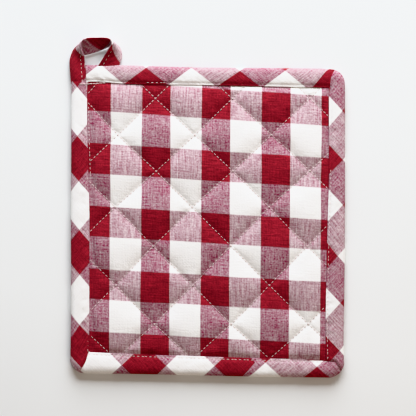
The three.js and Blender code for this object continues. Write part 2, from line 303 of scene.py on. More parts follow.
def join(parts: Sequence[Pair]) -> Pair:
    """Several meshes as one.

    Args:
        parts: points and faces of each.

    Returns:
        Points and faces of all.
    """
    starts = np.cumsum([0] + [len(points) for points, faces in parts])
    points = np.concatenate([points for points, faces in parts])
    return points, np.concatenate([faces + start for (own, faces), start in zip(parts, starts)])


def outward(points: Array, faces: Array) -> Array:
    """Faces turned so that the closed shape's volume is positive.

    The volume is the sum of a.(b x c) / 6 over its triangles.

    Args:
        points: shape (n, 3).
        faces: point numbers, shape (m, corners).

    Returns:
        The faces as given, or all turned over.
    """
    quads = np.stack([points[faces[:, corner]] for corner in range(faces.shape[1])], 1)
    volume = 0.0
    for corner in range(1, faces.shape[1] - 1):
        turn = np.cross(quads[:, corner], quads[:, corner + 1])
        volume += np.einsum("ij,ij->i", quads[:, 0], turn).sum()
    return faces if volume > 0 else faces[:, ::-1]


def link(name: str, data: bpy.types.ID) -> Piece:
    """Puts a new object in the scene.

    Args:
        name: the object's name.
        data: the mesh, lamp or camera it holds.

    Returns:
        The object.
    """
    piece = bpy.data.objects.new(name, data)
    bpy.context.scene.collection.objects.link(piece)
    return piece


def mesh_object(name: str, points: Array, faces: Array) -> Piece:
    """A smooth mesh object at the origin.

    Args:
        name: the piece's name.
        points: shape (n, 3), in millimetres.
        faces: point numbers, shape (m, corners).

    Returns:
        The linked object.
    """
    mesh = bpy.data.meshes.new(name)
    count, corners = faces.shape
    mesh.vertices.add(len(points))
    mesh.vertices.foreach_set("co", (points * MM).astype(np.float32).ravel())
    mesh.loops.add(faces.size)
    mesh.loops.foreach_set("vertex_index", faces.astype(np.int32).ravel())
    mesh.polygons.add(count)
    mesh.polygons.foreach_set("loop_start", np.arange(0, faces.size, corners, dtype=np.int32))
    mesh.polygons.foreach_set("loop_total", np.full(count, corners, np.int32))
    mesh.update(calc_edges=True)
    mesh.polygons.foreach_set("use_smooth", np.ones(count, bool))
    return link(name, mesh)


def smooth_curve(points: Sequence[Sequence[float]], count: int) -> Array:
    """Uniform Catmull-Rom curve through a row of points.

    Between two points it is the cubic whose end slopes are half the step from the point
    before to the point after.

    Args:
        points: the points, of any dimension.
        count: how many places to read off.

    Returns:
        The places, shape (count, dimension).
    """
    knots = np.asarray(points, float)
    knots = np.concatenate([[2 * knots[0] - knots[1]], knots, [2 * knots[-1] - knots[-2]]])
    reach = np.linspace(0, len(points) - 1, count)
    span = np.minimum(reach.astype(int), len(points) - 2)
    t = (reach - span)[:, None]
    before, start, end, after = (knots[span + step] for step in range(4))
    slope_in, slope_out = (end - before) / 2, (after - start) / 2
    return (start * (2 * t**3 - 3 * t**2 + 1) + slope_in * (t**3 - 2 * t**2 + t)
            + end * (3 * t**2 - 2 * t**3) + slope_out * (t**3 - t**2))


def read_rows(rows: Array, run: Array, marks: Array) -> Array:
    """Rows of vectors given at distances run, read off at the marks."""
    return np.stack([np.interp(marks, run, rows[:, axis]) for axis in range(rows.shape[1])], 1)


def thick_line(middle: Array, thickness: float, cap: int) -> Pair:
    """Closed outline of a line given a thickness, with half circles for ends.

    Args:
        middle: the line in its plane, shape (n, 2).
        thickness: its full thickness.
        cap: extra points in each round end.

    Returns:
        The outline (m, 2), out on the left and back on the right, and for each of its
        points the nearest place on the line, 0 to n - 1.
    """
    heading = unit(np.gradient(middle, axis=0))
    left = np.stack([-heading[:, 1], heading[:, 0]], 1) * thickness / 2
    turn = (np.arange(1, cap + 1) / (cap + 1) * math.pi)[:, None]
    far = middle[-1] + left[-1] * np.cos(turn) + heading[-1] * np.sin(turn) * thickness / 2
    near = middle[0] - left[0] * np.cos(turn) - heading[0] * np.sin(turn) * thickness / 2
    place = np.arange(len(middle))
    outline = np.concatenate([middle + left, far, (middle - left)[::-1], near])
    places = np.concatenate([place, np.full(cap, place[-1]), place[::-1], np.zeros(cap, int)])
    return outline, places


@dataclass(frozen=True)
class Thread:
    """Sewing thread as it shows in one stitch: a short tube whose ends dive into the cloth."""

    length: float = 2.1
    radius: float = 0.21
    dive: float = 0.45
    rings: int = 7
    sides: int = 6

    def mesh(self, middles: Array, headings: Array, ups: Array) -> Pair:
        """Points and quads of many stitches at once.

        Along a stitch, with t from -1 to 1, the middle is dropped by dive t^2 and the
        radius is that of the thread times (1 - t^6)^0.5, almost closed at both ends.

        Args:
            middles: middle of each stitch, shape (n, 3).
            headings: unit direction of sewing, one or one for each.
            ups: unit direction out of the cloth, one or one for each.

        Returns:
            Points (n * rings * sides, 3) and quads.
        """
        headings, ups = (np.broadcast_to(way, middles.shape) for way in (headings, ups))
        t = np.linspace(-1, 1, self.rings)
        thin = np.sqrt(np.maximum(1 - t**6, 0.02)) * self.radius
        angle = np.arange(self.sides) / self.sides * 2 * math.pi
        sideways = np.cross(headings, ups)
        spine = (middles[:, None] + headings[:, None] * (t * self.length / 2)[None, :, None]
                 - ups[:, None] * (self.dive * t**2)[None, :, None])
        around = (sideways[:, None, None] * np.cos(angle)[None, None, :, None]
                  + ups[:, None, None] * np.sin(angle)[None, None, :, None])
        points = (spine[:, :, None] + around * thin[None, :, None, None]).reshape(-1, 3)
        one = grid_quads(self.rings, self.sides, close_columns=True)
        caps = np.array([[0, 1, 2, 3], [0, 3, 4, 5]])
        one = np.concatenate([one, caps[:, ::-1], caps + (self.rings - 1) * self.sides])
        step = self.rings * self.sides
        one = outward(points[:step] - points[:step].mean(0), one)
        return points, (one[None] + (np.arange(len(middles)) * step)[:, None, None]).reshape(-1, 4)


# Shader maths written as Python expressions


def math_operator(operation: str, reflected: bool = False) -> Callable[..., "Value"]:
    """An operator of Value that adds one Math node.

    Args:
        operation: the node's operation.
        reflected: whether the operands are swapped.

    Returns:
        The method.
    """

    def apply(self: "Value", other: Number = 0.0) -> "Value":
        """Adds the node."""
        first, second = (other, self) if reflected else (self, other)
        return self.graph.math(operation, first, second)

    return apply


class Value:
    """A number worked out by shader nodes; Python operators on it add Math nodes."""

    def __init__(self, graph: "Graph", socket: bpy.types.NodeSocket) -> None:
        """Wraps one output socket of a graph."""
        self.graph = graph
        self.socket = socket

    __add__ = __radd__ = math_operator("ADD")
    __sub__ = math_operator("SUBTRACT")
    __rsub__ = math_operator("SUBTRACT", reflected=True)
    __mul__ = __rmul__ = math_operator("MULTIPLY")
    __truediv__ = math_operator("DIVIDE")
    __gt__ = math_operator("GREATER_THAN")
    __abs__ = math_operator("ABSOLUTE")


class Graph:
    """A material's node tree with one method that adds any node."""

    def __init__(self, name: str) -> None:
        """Starts an empty material.

        Args:
            name: the material's name.
        """
        self.material = bpy.data.materials.new(name)
        self.material.use_nodes = True
        self.tree = self.material.node_tree
        self.tree.nodes.clear()

    def add(self, kind: str, settings: dict, inputs: dict) -> bpy.types.Node:
        """Adds a node.

        Args:
            kind: the node's type name.
            settings: its properties, set first.
            inputs: socket name or number to a value, a Value or an output socket.

        Returns:
            The node.
        """
        node = self.tree.nodes.new(kind)
        for key, setting in settings.items():
            setattr(node, key, setting)
        for key, given in inputs.items():
            source = given.socket if isinstance(given, Value) else given
            if isinstance(source, bpy.types.NodeSocket):
                self.tree.links.new(source, node.inputs[key])
            else:
                node.inputs[key].default_value = source
        return node

    def math(self, operation: str, first: Number, second: Number) -> Value:
        """One Math node."""
        node = self.add("ShaderNodeMath", {"operation": operation}, {0: first, 1: second})
        return Value(self, node.outputs[0])

    def clamp(self, value: Value) -> Value:
        """Value held between 0 and 1."""
        return Value(self, self.add("ShaderNodeClamp", {}, {"Value": value}).outputs[0])

    def combine(self, x: Number, y: Number, z: Number) -> bpy.types.NodeSocket:
        """Vector of three numbers."""
        return self.add("ShaderNodeCombineXYZ", {}, {0: x, 1: y, 2: z}).outputs[0]

    def split(self, vector: bpy.types.NodeSocket, scale: float) -> tuple[Value, Value, Value]:
        """The three parts of a vector, each times scale."""
        node = self.add("ShaderNodeSeparateXYZ", {}, {0: vector})
        return tuple(Value(self, part) * scale for part in node.outputs)

    def object_place(self) -> tuple[Value, Value, Value]:
        """X, Y and Z of the surface, in millimetres."""
        return self.split(self.add("ShaderNodeTexCoord", {}, {}).outputs["Object"], 1 / MM)

    def tape_place(self, which: "TapeAttribute") -> bpy.types.NodeSocket:
        """The u and v written on folded tape."""
        return self.add("ShaderNodeUVMap", {"uv_map": which.value}, {}).outputs[0]

    def noise(self, x: Number, y: Number, z: Number = 0.0, detail: float = 1.0) -> Value:
        """Noise between about -1 and 1, one blob to each unit of its coordinates."""
        inputs = {"Vector": self.combine(x, y, z), "Scale": 1.0, "Detail": detail}
        return (Value(self, self.add("ShaderNodeTexNoise", {}, inputs).outputs[0]) - 0.5) * 3.0

    def mix(self, share: Number, first: object, second: object) -> bpy.types.NodeSocket:
        """Colour mixed from two, each a socket or its three parts.

        Args:
            share: 0 for the first to 1 for the second.
            first: a colour.
            second: a colour.

        Returns:
            The mixed colour.
        """
        settings = {"data_type": "RGBA", "clamp_factor": True}
        first, second = ((*c, 1) if isinstance(c, tuple) else c for c in (first, second))
        return self.add("ShaderNodeMix", settings, {0: share, 6: first, 7: second}).outputs[2]

    def stripe(self, place: Value, red_share: float, softness: float) -> Value:
        """1 on the red band around each even whole place and 0 on the white between.

        The place's distance from the nearest even number, 0 to 1, is compared with the
        share of the repeat that is red.
        """
        turned = abs(self.math("PINGPONG", place, 1.0))
        return self.clamp((red_share - turned) / softness + 0.5)

    def cosine(self, place: Value) -> Value:
        """Cosine of whole turns."""
        return self.math("COSINE", place * (2 * math.pi), 0.0)

    def bump(self, strength: float, distance: float, height: Value) -> bpy.types.NodeSocket:
        """Surface direction tilted by a relief."""
        inputs = {"Strength": strength, "Distance": distance, "Height": height}
        return self.add("ShaderNodeBump", {}, inputs).outputs[0]

    def surface(self, inputs: dict) -> bpy.types.Material:
        """Ends the material with a Principled surface.

        Args:
            inputs: what its sockets are given.

        Returns:
            The material.
        """
        shader = self.add("ShaderNodeBsdfPrincipled", {}, inputs)
        self.add("ShaderNodeOutputMaterial", {}, {"Surface": shader.outputs[0]})
        return self.material


@dataclass(frozen=True)
class GinghamCloth:
    """The woven check: thread colours, how much each shows, and how it takes light.

    A red thread among white ones looks lighter and bluer than one among red ones, because
    the light it sends back has passed through its neighbours.
    """

    red: Row = (0.226, 0.0195, 0.028)
    red_among_white: Row = (0.228, 0.020, 0.067)
    white: Row = (0.875, 0.852, 0.834)
    red_share: float = 0.485
    band_blur: float = 0.03
    warp_over_red: float = 0.335
    warp_over_white: float = 0.805
    thread: float = 0.56
    streak: float = 0.38
    mottle: float = 0.2
    depth: float = 0.05
    red_depth: float = 0.42
    roughness: float = 0.9
    bump: float = 0.00015

    def dress(self, graph: Graph, warp: Value, weft: Value, across: Value,
              along: Value) -> bpy.types.Material:
        """Wires the check into the material's surface.

        Where a red and a white thread cross both show. The share of the warp thread is a
        mean for that crossing, plus streaks that run with each set of threads, plus a
        fine mottle, plus the over and under of single threads.

        Args:
            graph: the material.
            warp: band number of the warp threads, whole at a band's middle, red if even.
            weft: the same for the weft threads.
            across: millimetres counted across the warp threads.
            along: millimetres counted along the warp threads.

        Returns:
            The finished material.
        """
        red_warp = graph.stripe(warp, self.red_share, self.band_blur)
        red_weft = graph.stripe(weft, self.red_share, self.band_blur)
        pair = 2 * self.thread
        over = graph.cosine(across / pair) * graph.cosine(along / pair)
        warp_streak = graph.noise(across / 1.0, along / 12.0, 3.0)
        weft_streak = graph.noise(across / 9.0, along / 1.0, 9.0)
        fine = graph.noise(across / 1.3, along / 1.3, 5.0)
        shown = (self.warp_over_red + red_warp * (self.warp_over_white - self.warp_over_red)
                 + warp_streak * self.streak * (0.5 - 0.15 * red_warp)
                 + weft_streak * self.streak * (0.28 + 0.08 * red_warp)
                 + fine * self.mottle * (0.78 + 0.22 * red_warp) + over * 0.05)
        warp_red = graph.mix(red_weft, self.red_among_white, self.red)
        weft_red = graph.mix(red_warp, self.red_among_white, self.red)
        warp_colour = graph.mix(red_warp, self.white, warp_red)
        weft_colour = graph.mix(red_weft, self.white, weft_red)
        cloth = graph.mix(graph.clamp(shown), weft_colour, warp_colour)
        depth = self.depth + red_warp * red_weft * self.red_depth
        shade = 1.0 + (warp_streak * 0.5 + weft_streak + fine * 0.7) * depth
        inputs = {0: cloth, 1: graph.combine(shade, shade, shade)}
        colour = graph.add("ShaderNodeVectorMath", {"operation": "MULTIPLY"}, inputs).outputs[0]
        relief = over * 0.5 + warp_streak * 0.35 + weft_streak * 0.35 + fine * 0.3
        return graph.surface({
            "Normal": graph.bump(1.0, self.bump, relief),
            "Base Color": colour,
            "Roughness": self.roughness,
            "Specular IOR Level": 0.1,
            "Sheen Weight": 0.03,
            "Sheen Roughness": 0.6,
        })


CLOTH = GinghamCloth()


@dataclass(frozen=True)
class PanelCheck:
    """How the check lies on the panel: upright warp bands, weft bands that fall to the right."""

    column_pitch: float = 22.1
    first_column: float = -38.25
    row_pitch: float = 23.17
    first_row: float = 82.4
    lean: float = 0.0072
    fall: float = 0.067
    flatten: float = 0.0011
    fall_from: float = -79.4
    flatten_from: float = 71.3
    sway: float = 0.35
    sway_cell: float = 40.0

    def material(self) -> bpy.types.Material:
        """The check read off at X and Y, with the bands' lean, fall and sway.

        Returns:
            The material.
        """
        graph = Graph("panel_gingham")
        x, y, z = graph.object_place()
        sway = graph.noise(x / self.sway_cell, y / self.sway_cell, 1.0) * self.sway
        across = x - y * self.lean + sway
        fall = self.fall - (self.flatten_from - y) * (self.fall * self.flatten)
        along = y + (x - self.fall_from) * fall + sway
        warp = (across - self.first_column) / self.column_pitch
        return CLOTH.dress(graph, warp, (self.first_row - along) / self.row_pitch, across, along)


class TapeAttribute(Enum):
    """What a face corner of folded tape carries for its material."""

    BEFORE = "tape_before"
    AFTER = "tape_after"
    FOLD = "fold"


def write_places(piece: Piece, name: TapeAttribute, places: Array) -> None:
    """Writes u and v on every face corner."""
    layer = piece.data.uv_layers.new(name=name.value)
    layer.data.foreach_set("uv", places.astype(np.float32).ravel())


def tape_material(name: str, pitch: float, folded: bool) -> bpy.types.Material:
    """A face carries the tape place before and after a fold or seam, and the distance from
    that line, which picks one. With u along the tape and v across it, both in half
    repeats, the bands of the two sets of threads are numbered u - v and u + v.

    Args:
        name: the material's name.
        pitch: millimetres in one unit of u or v.
        folded: whether the second place and the fold distance are there.

    Returns:
        The material.
    """
    graph = Graph(name)
    u, v, unused = graph.split(graph.tape_place(TapeAttribute.BEFORE), 1.0)
    if folded:
        after = graph.tape_place(TapeAttribute.AFTER)
        fold = graph.add("ShaderNodeAttribute", {"attribute_name": TapeAttribute.FOLD.value}, {})
        past = Value(graph, fold.outputs["Fac"]) > 0.0
        next_u, next_v, unused = graph.split(after, 1.0)
        u = u + (next_u - u) * past
        v = v + (next_v - v) * past
    to_mm = pitch * math.sqrt(0.5)
    return CLOTH.dress(graph, u - v, u + v, (u - v) * to_mm, (u + v) * to_mm)


@dataclass(frozen=True)
class ThreadFinish:
    """Off-white cotton sewing thread with a faint twist."""

    colour: Row = (0.70, 0.57, 0.54)
    shaded: float = 0.8
    patch: float = 2.5
    twist: float = 0.35
    roughness: float = 0.6

    def material(self) -> bpy.types.Material:
        """Thread colour varied a little from stitch to stitch, with the twist as bump.

        Returns:
            The material.
        """
        graph = Graph("sewing_thread")
        x, y, z = graph.object_place()
        noise = graph.noise(x / self.patch, y / self.patch, z / self.patch)
        dark = tuple(self.shaded * part for part in self.colour)
        colour = graph.mix(graph.clamp(noise * 0.5 + 0.5), dark, self.colour)
        twist = graph.cosine((x + y * 0.6 + z) / self.twist)
        return graph.surface({
            "Normal": graph.bump(0.5, 0.00005, twist),
            "Base Color": colour,
            "Roughness": self.roughness,
            "Sheen Weight": 0.1,
        })


def finish_piece(piece: Piece, material: bpy.types.Material) -> None:
    """Dresses a piece and puts it on the part's one body.

    Args:
        piece: the piece.
        material: its material.
    """
    piece.data.materials.append(material)
    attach(piece, "root")
    mesh = piece.data
    LOG.info("%s: %d points, %d faces", piece.name, len(mesh.vertices), len(mesh.polygons))


# Quilted panel


def lattice_quads(count: int, reach: float) -> tuple[Array, Array, Array, Array]:
    """Grid along the stitch lines, cut off at the rim.

    Args:
        count: grid steps between two stitch lines.
        reach: how far the rim lies outside the sewn edge.

    Returns:
        a and b of the whole grid, the numbers of its points that are used, and the quads
        between these, numbered among the used points only.
    """
    a, b = np.meshgrid(np.linspace(-1, 9, 10 * count + 1), np.linspace(-5, 5, 10 * count + 1))
    known = ((a - b > -0.95) & (a - b < 7.95)).ravel()
    quads = grid_quads(*a.shape)
    middle = inset(*QUILTING.place(a, b)).ravel()[quads].mean(1)
    kept = known[quads].all(1) & (middle > -reach)
    used, quads = np.unique(quads[kept], return_inverse=True)
    return a, b, used, quads.reshape(-1, 4)


@dataclass
class Billow:
    """Cloth simulation of the quilted face.

    The cloth starts almost flat with a little surplus, is pinned along the stitch lines and
    under the binding, and is pressed up by the padding, so that it swells into pillows and
    gathers into puckers beside the stitches. It is simulated enlarged and without weight.
    """

    steps_to_gap: int = 26
    reach: float = 3.0
    held_within: float = 0.5
    enlarged: float = 10.0
    frames: int = 20
    surplus: float = 0.005
    pressure: float = 20.0
    stretch: float = 10.0
    bending: float = 8.0
    start_relief: float = 0.25

    def start(self) -> tuple[Array, Array, Array, Array, tuple[int, int]]:
        """The cloth before it swells.

        Returns:
            Its points, its quads, which points are pinned, the numbers of its points in the
            whole lattice grid, and that grid's shape.
        """
        a, b, used, quads = lattice_quads(self.steps_to_gap, self.reach)
        x, y = (place.ravel()[used] for place in QUILTING.place(a, b))
        near = 0.2 / self.steps_to_gap
        on_line = [np.abs(way - np.round(way)).ravel()[used] < near for way in (a, b)]
        pinned = on_line[0] | on_line[1] | (inset(x, y) < self.held_within)
        relief = QUILTING.relief(x, y, 5.0, 2.2, 3)
        points = np.column_stack([x, y, np.where(pinned, 0, self.start_relief * relief)])
        return points, quads, pinned, used, a.shape

    def swell(self, count: int) -> Array:
        """Runs the simulation and reads off how far the face has moved.

        Args:
            count: steps to the gap of the grid that is wanted, filled in by smooth curves.

        Returns:
            Moves from the flat face, shape (10 count + 1, 10 count + 1, 3).
        """
        points, quads, pinned, used, shape = self.start()
        cloth = mesh_object("swelling_face", points * self.enlarged, quads)
        cloth.vertex_groups.new(name="sewn").add(np.flatnonzero(pinned).tolist(), 1.0, "REPLACE")
        modifier = cloth.modifiers.new("cloth", "CLOTH")
        settings = modifier.settings
        settings.quality = 5
        settings.mass = 0.1
        settings.tension_stiffness = settings.compression_stiffness = self.stretch
        settings.shear_stiffness = self.stretch / 3
        settings.bending_stiffness = self.bending
        settings.use_pressure = True
        settings.uniform_pressure_force = self.pressure
        settings.shrink_min = -self.surplus
        settings.vertex_group_mass = "sewn"
        settings.effector_weights.gravity = 0
        modifier.collision_settings.use_collision = False
        modifier.point_cache.frame_start, modifier.point_cache.frame_end = 1, self.frames
        for moment in range(1, self.frames + 1):
            bpy.context.scene.frame_set(moment)
        settled = cloth.evaluated_get(bpy.context.evaluated_depsgraph_get()).data
        places = np.empty(len(points) * 3, np.float32)
        settled.vertices.foreach_get("co", places)
        bpy.context.scene.frame_set(1)
        bpy.data.meshes.remove(cloth.data)
        moves = np.zeros((shape[0] * shape[1], 3))
        moves[used] = places.reshape(-1, 3) / (MM * self.enlarged) - points * [1, 1, 0]
        LOG.info("face swells by %.2f mm at most", moves[:, 2].max())
        weights = smooth_curve(np.eye(shape[0]), 10 * count + 1)
        moves = moves.reshape(*shape, 3)
        return np.einsum("ij,jkc,lk->ilc", weights, moves, weights, optimize=True)


@dataclass
class QuiltedPanel:
    """Two cotton faces and the padding between, drawn together along the stitch lines."""

    steps_to_gap: int = 39
    flange_bottom: float = 1.4
    flange_top: float = 3.45
    shoulder: float = 0.4
    flange_reach: float = 7.0
    edge_ease: float = 4.5
    rim_ease: float = 4.0
    left_ditch: float = 2.3
    channel_top: float = 4.4
    puff_rise: float = 2.9
    fullness: float = 0.46
    channel_lift: float = 1.3
    flat_from: float = 0.5
    needle_depth: float = 0.25
    needle_reach: float = 0.9
    pucker: float = 0.2
    pucker_peak: float = 1.8
    unevenness: float = 0.25
    stitch_lift: float = 0.22
    billow: Billow = field(default_factory=Billow)
    thread: Thread = field(default_factory=Thread)

    def gathers(self, a: Array, b: Array) -> Array:
        """Relief that the sewing makes: needle dimples in each line and puckers beside it.

        A dimple is needle_depth (1 - cos(2 pi n)) / 2, n counting stitches, and falls off
        within 1 mm of the line. A pucker is uneven relief, short along the line and long
        across it, that rises and dies away over some 5 mm.

        Args:
            a: lattice places.
            b: lattice places.

        Returns:
            Height to add to the upper face, mostly negative.
        """
        relief = np.zeros_like(a)
        for number, (across, along) in enumerate(((a, b), (b, a))):
            off = np.abs(across - np.round(across)) * QUILTING.line_gap
            travel, side = ((way + 20) * QUILTING.line_gap for way in (along, across))
            dimple = (1 - np.cos(2 * np.pi * QUILTING.stitches_to_gap * along)) / 2
            relief -= self.needle_depth * dimple * bell(off, self.needle_reach)
            creases = 0.65 * ripple(travel, side / 3.2, 3.0, 11 + number)
            creases += 0.35 * ripple(travel, side / 4.5, 1.9, 17 + number)
            peak = off / self.pucker_peak
            relief += self.pucker * creases * peak * np.exp(1 - peak) * 0.5
        return relief

    def faces_at(self, a: Array, b: Array, swell: Optional[Array] = None
                 ) -> tuple[Array, Array, Array, Array]:
        """Where the two faces lie at lattice places.

        The upper face steps up by the shoulder beside the tape, then rises to the channel
        level, plus pillows, sewing relief and slow unevenness that grow from nothing there.
        The under face is flat on the table but for its channels and its rim. The pillow
        formula is |sin(pi a) sin(pi b)|^fullness.

        Args:
            a: lattice places.
            b: lattice places.
            swell: simulated pillow height, or None for the pillow formula.

        Returns:
            X, Y, height of the upper face, height of the under face.
        """
        x, y = QUILTING.place(a, b)
        inside = inset(x, y)
        beside_left = x - LEFT.level(y, Edge.SEWN, 1) - self.left_ditch
        near = ease(np.minimum(inside - 0.3, beside_left), 0, self.edge_ease)
        slow = QUILTING.relief(x, y, 19.0, 8.0, 5)
        puff = np.abs(np.sin(np.pi * a) * np.sin(np.pi * b)) ** self.fullness
        risen = self.puff_rise * puff if swell is None else swell
        relief = risen + self.gathers(a, b) + self.unevenness * slow
        beside = self.flange_top + self.shoulder * ease(inside, -0.6, 0.9)
        top = beside + (self.channel_top - beside) * near + relief * np.sqrt(near)
        rim = self.flange_bottom * (1 - ease(inside, 0, self.rim_ease))
        bottom = np.maximum(rim, self.channel_lift * (1 - ease(puff, 0, self.flat_from)))
        return x, y, top, bottom

    def build(self) -> Piece:
        """The closed panel, on a grid that follows the stitch lines.

        The upper face, the under face and the wall round the rim, which lies hidden in the
        fold of the binding. Grid quads are kept where their middle is inside the rim.

        Returns:
            The panel.
        """
        a, b, used, quads = lattice_quads(self.steps_to_gap, self.flange_reach)
        moves = self.billow.swell(self.steps_to_gap)
        x, y, top, bottom = self.faces_at(a, b, moves[..., 2])
        upper = np.stack([x + moves[..., 0], y + moves[..., 1], top], -1)
        lower = np.stack([x, y, bottom], -1)
        points = np.concatenate([face.reshape(-1, 3)[used] for face in (upper, lower)])
        under = len(used)
        start, end = quads.ravel(), np.roll(quads, -1, axis=1).ravel()
        open_edge = ~np.isin(start * under + end, end * under + start)
        start, end = start[open_edge], end[open_edge]
        wall = np.stack([end, start, start + under, end + under], 1)
        faces = np.concatenate([quads, quads[:, ::-1] + under, wall])
        return mesh_object("quilted_panel_cloth", points, outward(points, faces))

    def stitches(self) -> Piece:
        """The machine quilting: every stitch of both families of lines, on both faces.

        A stitch heads along its line, from just before its middle to just after it.

        Returns:
            The thread.
        """
        rows, step = [], 0.01
        for rising in (True, False):
            a, b = QUILTING.stitches(rising)
            step_a, step_b = (0, step) if rising else (step, 0)
            before = np.stack(QUILTING.place(a - step_a, b - step_b), 1)
            heading = unit(np.stack(QUILTING.place(a + step_a, b + step_b), 1) - before)
            x, y, top, bottom = self.faces_at(a, b)
            shown = inset(x, y) > 1.0
            plan, heading = np.column_stack([x, y])[shown], raised(heading, 0)[shown]
            for z, up in ((top + self.stitch_lift, UP), (bottom - self.stitch_lift, -UP)):
                rows.append(self.thread.mesh(raised(plan, z[shown]), heading, up))
        return mesh_object("quilting_stitches", *join(rows))


# Binding


@dataclass(frozen=True)
class TapeRun:
    """How the bias check lies along one stretch of tape, read off from a short table.

    At each place, X or Y of the part, it gives u, the count of check diamonds run past
    going clockwise, and v at the sewn edge, from where v grows by 1 in every unit
    millimetres across the tape. Tape sewn on taut is drawn narrower, so its unit is less.
    """

    side: Side
    axis: int
    sign: int
    unit: float
    places: Row
    u: Row
    v: Row

    def from_sewn(self, plan: Array) -> Array:
        """Plan distance outwards from the sewn edge of the run's side."""
        level = self.side.level(plan[..., self.axis], Edge.SEWN, self.axis)
        return (plan[..., 1 - self.axis] - level) * self.sign

    def read(self, plan: Array, across: Array) -> Array:
        """u and v of each place.

        Args:
            plan: X and Y, last dimension 2.
            across: millimetres from the sewn edge, over the tape's surface.

        Returns:
            u and v, last dimension 2.
        """
        place = plan[..., self.axis]
        low, high = self.places[0], self.places[-1]
        slope = (self.u[-1] - self.u[0]) / (high - low)
        beyond = np.minimum(place - low, 0) + np.maximum(place - high, 0)
        u = np.interp(place, self.places, self.u) + beyond * slope
        v = np.interp(place, self.places, self.v) + across / self.unit
        return np.stack([u, v], -1)


@dataclass(frozen=True)
class FoldLine:
    """Where one stretch of tape gives way to the next.

    The next lies on the right of every leg of the line. Across it the tape steps up by
    step, or down if negative, with a crease of the given depth.
    """

    line: Table
    depth: float
    step: float

    def past(self, plan: Array) -> Array:
        """Signed distance beyond the line: the least of those to the right of its legs.

        Args:
            plan: X and Y, last dimension 2.

        Returns:
            The distance of each place.
        """
        distances = []
        for a, b in zip(self.line, self.line[1:]):
            run, away = np.subtract(b, a), plan - np.array(a)
            distances.append((away[..., 0] * run[1] - away[..., 1] * run[0]) / np.hypot(*run))
        return np.minimum.reduce(distances)


RUNS = (
    TapeRun(TOP, 0, 1, 25.5, (-79.3, -45.4, -11.8, 23.9, 57.5, 78.3, 87.6, 94.0),
            (1, 2, 3, 4, 5, 5.62, 5.97, 6.05),
            (0.03, 0.015, 0.04, 0.06, 0.07, 0.085, -0.02, -0.12)),
    TapeRun(RIGHT, 1, 1, 32.0, (-105.6, -70.6, -35.8, 1.8, 35.2, 71.3), (6, 5, 4, 3, 2, 1),
            (0.178, 0.2, 0.241, 0.197, 0.169, 0.222)),
    TapeRun(BOTTOM, 0, -1, 33.0, (42.9, 80.7), (-1, -2), (-0.6, -0.617)),
    TapeRun(BOTTOM, 0, -1, 33.0, (-81.1, -46.9, -12.6, 21.8), (-1, -2, -3, -4),
            (-0.245, -0.235, -0.2, -0.17)),
    TapeRun(LEFT, 1, -1, 29.0, (-118.2, -86.1, -50.2, -16.0, 105.6),
            (-6.38, -5.5, -4.5, -3.5, 0), (-0.08, -0.227, -0.23, -0.235, -0.24)),
)
FOLDS = (
    FoldLine(((90.5, 88.8), (91.3, 96.4), (94.0, 101.5)), 0.5, 0.3),
    FoldLine(((88.0, -113.4), (94.2, -113.6), (98.6, -120.2)), 0.9, -0.35),
    FoldLine(((38.2, -111.0), (26.2, -124.5)), 0.35, 0.0),
    FoldLine(((-88.0, -107.6), (-89.8, -113.6), (-93.4, -120.0)), 0.5, 0.45),
    FoldLine(((-89.2, 90.0), (-90.0, 106.0)), 0.45, -0.3),
)
END_SEAM = 2
SEAM_REACH = (-1.0, 56.0)


